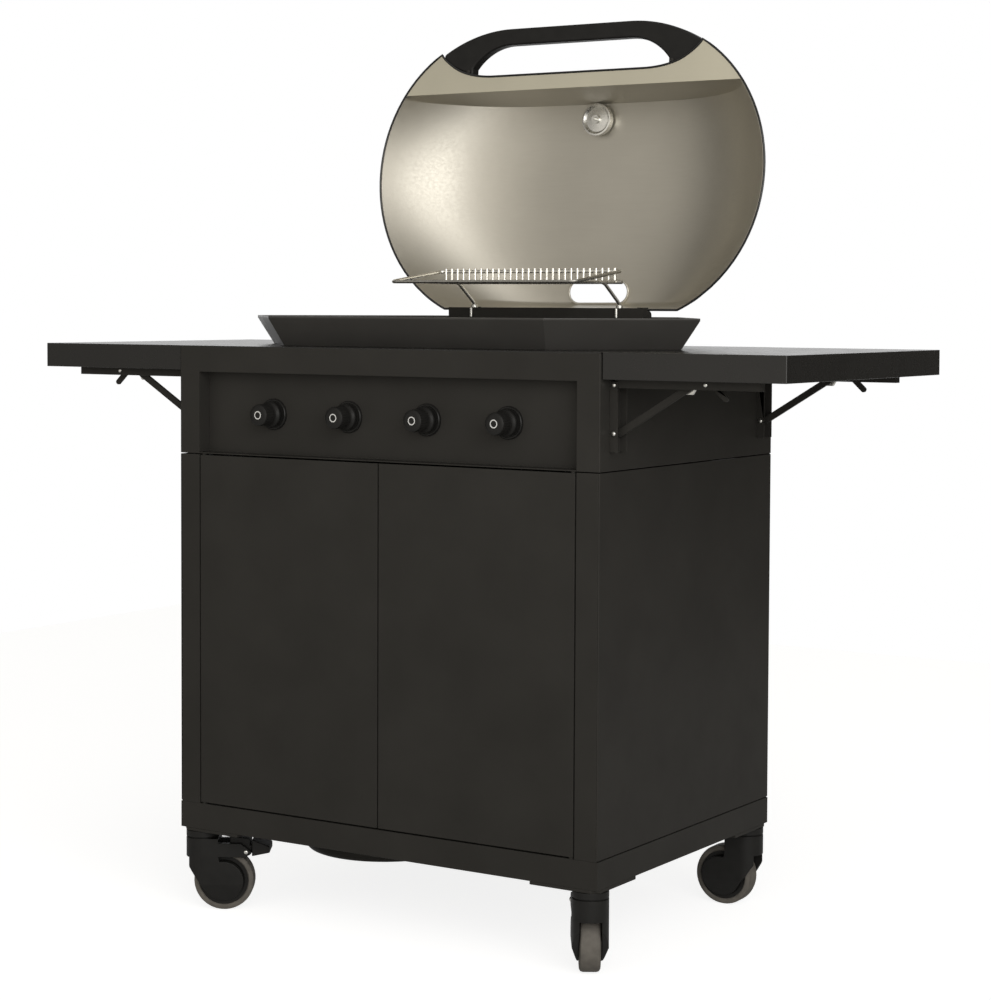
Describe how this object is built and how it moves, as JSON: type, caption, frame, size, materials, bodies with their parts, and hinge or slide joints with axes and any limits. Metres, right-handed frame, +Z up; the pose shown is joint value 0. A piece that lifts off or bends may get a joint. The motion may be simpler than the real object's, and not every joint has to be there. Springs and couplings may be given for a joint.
{
  "type": "gas grill",
  "caption": "Gas grill on a wheeled cabinet: flared basin, open domed lid with warming rack, control knobs, double doors, fold-down side shelves and swivel casters.",
  "frame": {"origin": "on the floor under the middle of the whole outline", "axes": "+X to the right as seen from the front, +Y to the back, +Z up; the lid stands open at rest"},
  "size_m": [1.4, 0.731, 1.4976],
  "materials": {
    "black_coat": "satin powder coat",
    "grey_coat": "satin powder coat",
    "steel": "satin",
    "wire": "polished",
    "zinc": "zinc plated",
    "black_plastic": "matt",
    "tyre": "matt",
    "cast_iron": "matt enamel",
    "brass": "machined"
  },
  "bodies": {
    "cabinet": {"base_pan": "black_coat", "bottle_well": "black_coat", "caster_plates": "black_coat", "back_panel": "black_coat", "door_hinge_pins": "black_coat", "housing_back": "black_coat", "front_fascia": "black_coat", "control_panel": "black_coat", "table_deck": "black_coat", "basin": "grey_coat", "firebox": "steel", "burners": "steel", "flame_tamers": "steel", "gas_manifold": "steel", "gas_valves": "brass", "knob_bezels": "black_plastic", "rack_rail": "black_coat", "lid_hinge_posts": "black_coat", "shelf_wall_legs": "black_coat", "side_panel_right": "black_coat", "side_panel_left": "black_coat", "stile_right": "black_coat", "stile_left": "black_coat", "housing_side_right": "black_coat", "housing_side_left": "black_coat"},
    "lid": {"lid_shell": "steel", "lid_handle": "black_plastic", "lid_thermometer": "steel"},
    "door_left": {"door_left": "black_coat"},
    "door_right": {"door_right": "black_coat"},
    "caster_front_left": {"caster_fork_front_left": "black_plastic"},
    "wheel_front_left": {"caster_wheel_front_left": "tyre"},
    "brake_front_left": {"caster_brake_front_left": "black_plastic"},
    "caster_front_right": {"caster_fork_front_right": "black_plastic"},
    "wheel_front_right": {"caster_wheel_front_right": "tyre"},
    "brake_front_right": {"caster_brake_front_right": "black_plastic"},
    "caster_rear_left": {"caster_fork_rear_left": "black_plastic"},
    "wheel_rear_left": {"caster_wheel_rear_left": "tyre"},
    "caster_rear_right": {"caster_fork_rear_right": "black_plastic"},
    "wheel_rear_right": {"caster_wheel_rear_right": "tyre"},
    "spindle_1": {"valve_spindle_1": "zinc"},
    "knob_1": {"knob_1": "black_plastic"},
    "spindle_2": {"valve_spindle_2": "zinc"},
    "knob_2": {"knob_2": "black_plastic"},
    "spindle_3": {"valve_spindle_3": "zinc"},
    "knob_3": {"knob_3": "black_plastic"},
    "spindle_4": {"valve_spindle_4": "zinc"},
    "knob_4": {"knob_4": "black_plastic"},
    "drip_tray": {"drip_tray": "steel"},
    "cooking_grate": {"cooking_grate": "cast_iron"},
    "hotplate": {"hotplate": "cast_iron"},
    "warming_rack": {"warming_rack": "wire"},
    "shelf_left": {"shelf_left": "black_coat", "shelf_rails_left": "black_coat"},
    "struts_left": {"shelf_struts_left": "black_coat"},
    "levers_left": {"shelf_levers_left": "black_coat"},
    "shelf_right": {"shelf_right": "black_coat", "shelf_rails_right": "black_coat"},
    "struts_right": {"shelf_struts_right": "black_coat"},
    "levers_right": {"shelf_levers_right": "black_coat"}
  },
  "joints": [
    {"name": "lid_hinge", "type": "hinge", "parent": "cabinet", "child": "lid", "pos_m": [0, 0.1885, 0.99], "axis": [-1, 0, 0], "range_deg": [-94, 0]},
    {"name": "door_left_hinge", "type": "hinge", "parent": "cabinet", "child": "door_left", "pos_m": [-0.3525, -0.3435, 0.472], "axis": [0, 0, -1], "range_deg": [0, 105]},
    {"name": "door_right_hinge", "type": "hinge", "parent": "cabinet", "child": "door_right", "pos_m": [0.3525, -0.3435, 0.472], "axis": [0, 0, 1], "range_deg": [0, 105]},
    {"name": "caster_swivel_front_left", "type": "hinge", "parent": "cabinet", "child": "caster_front_left", "pos_m": [-0.374, -0.3225, 0.134], "axis": [0, 0, 1], "continuous": true},
    {"name": "wheel_turn_front_left", "type": "hinge", "parent": "caster_front_left", "child": "wheel_front_left", "pos_m": [-0.3436, -0.30321, 0.05], "axis": [-0.5358, 0.8443, 0], "continuous": true},
    {"name": "brake_pedal_front_left", "type": "hinge", "parent": "caster_front_left", "child": "brake_front_left", "pos_m": [-0.31152, -0.28285, 0.1], "axis": [-0.5358, 0.8443, 0], "range_deg": [0, 12]},
    {"name": "caster_swivel_front_right", "type": "hinge", "parent": "cabinet", "child": "caster_front_right", "pos_m": [0.374, -0.3225, 0.134], "axis": [0, 0, 1], "continuous": true},
    {"name": "wheel_turn_front_right", "type": "hinge", "parent": "caster_front_right", "child": "wheel_front_right", "pos_m": [0.35471, -0.2921, 0.05], "axis": [-0.8443, -0.5358, 0], "continuous": true},
    {"name": "brake_pedal_front_right", "type": "hinge", "parent": "caster_front_right", "child": "brake_front_right", "pos_m": [0.33435, -0.26002, 0.1], "axis": [-0.8443, -0.5358, 0], "range_deg": [0, 12]},
    {"name": "caster_swivel_rear_left", "type": "hinge", "parent": "cabinet", "child": "caster_rear_left", "pos_m": [-0.374, 0.1955, 0.134], "axis": [0, 0, 1], "continuous": true},
    {"name": "wheel_turn_rear_left", "type": "hinge", "parent": "caster_rear_left", "child": "wheel_rear_left", "pos_m": [-0.40783, 0.18319, 0.05], "axis": [0.342, -0.9397, 0], "continuous": true},
    {"name": "caster_swivel_rear_right", "type": "hinge", "parent": "cabinet", "child": "caster_rear_right", "pos_m": [0.374, 0.1955, 0.134], "axis": [0, 0, 1], "continuous": true},
    {"name": "wheel_turn_rear_right", "type": "hinge", "parent": "caster_rear_right", "child": "wheel_rear_right", "pos_m": [0.33802, 0.19424, 0.05], "axis": [0.0349, -0.9994, 0], "continuous": true},
    {"name": "knob_1_push", "type": "slide", "parent": "cabinet", "child": "spindle_1", "axis": [0, 1, 0], "range_m": [0, 0.003], "stiffness_N_per_m": 800},
    {"name": "knob_1_turn", "type": "hinge", "parent": "spindle_1", "child": "knob_1", "pos_m": [-0.225, -0.3315, 0.829], "axis": [0, -1, 0], "range_deg": [0, 180]},
    {"name": "knob_2_push", "type": "slide", "parent": "cabinet", "child": "spindle_2", "axis": [0, 1, 0], "range_m": [0, 0.003], "stiffness_N_per_m": 800},
    {"name": "knob_2_turn", "type": "hinge", "parent": "spindle_2", "child": "knob_2", "pos_m": [-0.075, -0.3315, 0.829], "axis": [0, -1, 0], "range_deg": [0, 180]},
    {"name": "knob_3_push", "type": "slide", "parent": "cabinet", "child": "spindle_3", "axis": [0, 1, 0], "range_m": [0, 0.003], "stiffness_N_per_m": 800},
    {"name": "knob_3_turn", "type": "hinge", "parent": "spindle_3", "child": "knob_3", "pos_m": [0.075, -0.3315, 0.829], "axis": [0, -1, 0], "range_deg": [0, 180]},
    {"name": "knob_4_push", "type": "slide", "parent": "cabinet", "child": "spindle_4", "axis": [0, 1, 0], "range_m": [0, 0.003], "stiffness_N_per_m": 800},
    {"name": "knob_4_turn", "type": "hinge", "parent": "spindle_4", "child": "knob_4", "pos_m": [0.225, -0.3315, 0.829], "axis": [0, -1, 0], "range_deg": [0, 180]},
    {"name": "drip_tray_slide", "type": "slide", "parent": "cabinet", "child": "drip_tray", "axis": [0, 1, 0], "range_m": [0, 0.35]},
    {"name": "grate_lift", "type": "slide", "parent": "cabinet", "child": "cooking_grate", "axis": [0, 0, 1], "range_m": [0, 0.06]},
    {"name": "hotplate_lift", "type": "slide", "parent": "cabinet", "child": "hotplate", "axis": [0, 0, 1], "range_m": [0, 0.06]},
    {"name": "rack_lift", "type": "slide", "parent": "cabinet", "child": "warming_rack", "axis": [0, 0, 1], "range_m": [0, 0.08]},
    {"name": "shelf_left_fold", "type": "hinge", "parent": "cabinet", "child": "shelf_left", "pos_m": [-0.408, -0.0655, 0.8905], "axis": [0, -1, 0], "range_deg": [0, 82]},
    {"name": "strut_left_turn", "type": "hinge", "parent": "cabinet", "child": "struts_left", "pos_m": [-0.408, -0.0655, 0.8185], "axis": [0, -1, 0], "range_deg": [0, 110]},
    {"name": "release_left_lift", "type": "hinge", "parent": "shelf_left", "child": "levers_left", "pos_m": [-0.558, -0.0655, 0.894], "axis": [0, 1, 0], "range_deg": [0, 20]},
    {"name": "shelf_right_fold", "type": "hinge", "parent": "cabinet", "child": "shelf_right", "pos_m": [0.408, -0.0655, 0.8905], "axis": [0, 1, 0], "range_deg": [0, 82]},
    {"name": "strut_right_turn", "type": "hinge", "parent": "cabinet", "child": "struts_right", "pos_m": [0.408, -0.0655, 0.8185], "axis": [0, 1, 0], "range_deg": [0, 110]},
    {"name": "release_right_lift", "type": "hinge", "parent": "shelf_right", "child": "levers_right", "pos_m": [0.558, -0.0655, 0.894], "axis": [0, -1, 0], "range_deg": [0, 20]}
  ],
  "couplings": [
    {"joint": "strut_left_turn", "follows": "shelf_left_fold", "ratio": 1.3404},
    {"joint": "strut_right_turn", "follows": "shelf_right_fold", "ratio": 1.3404}
  ]
}
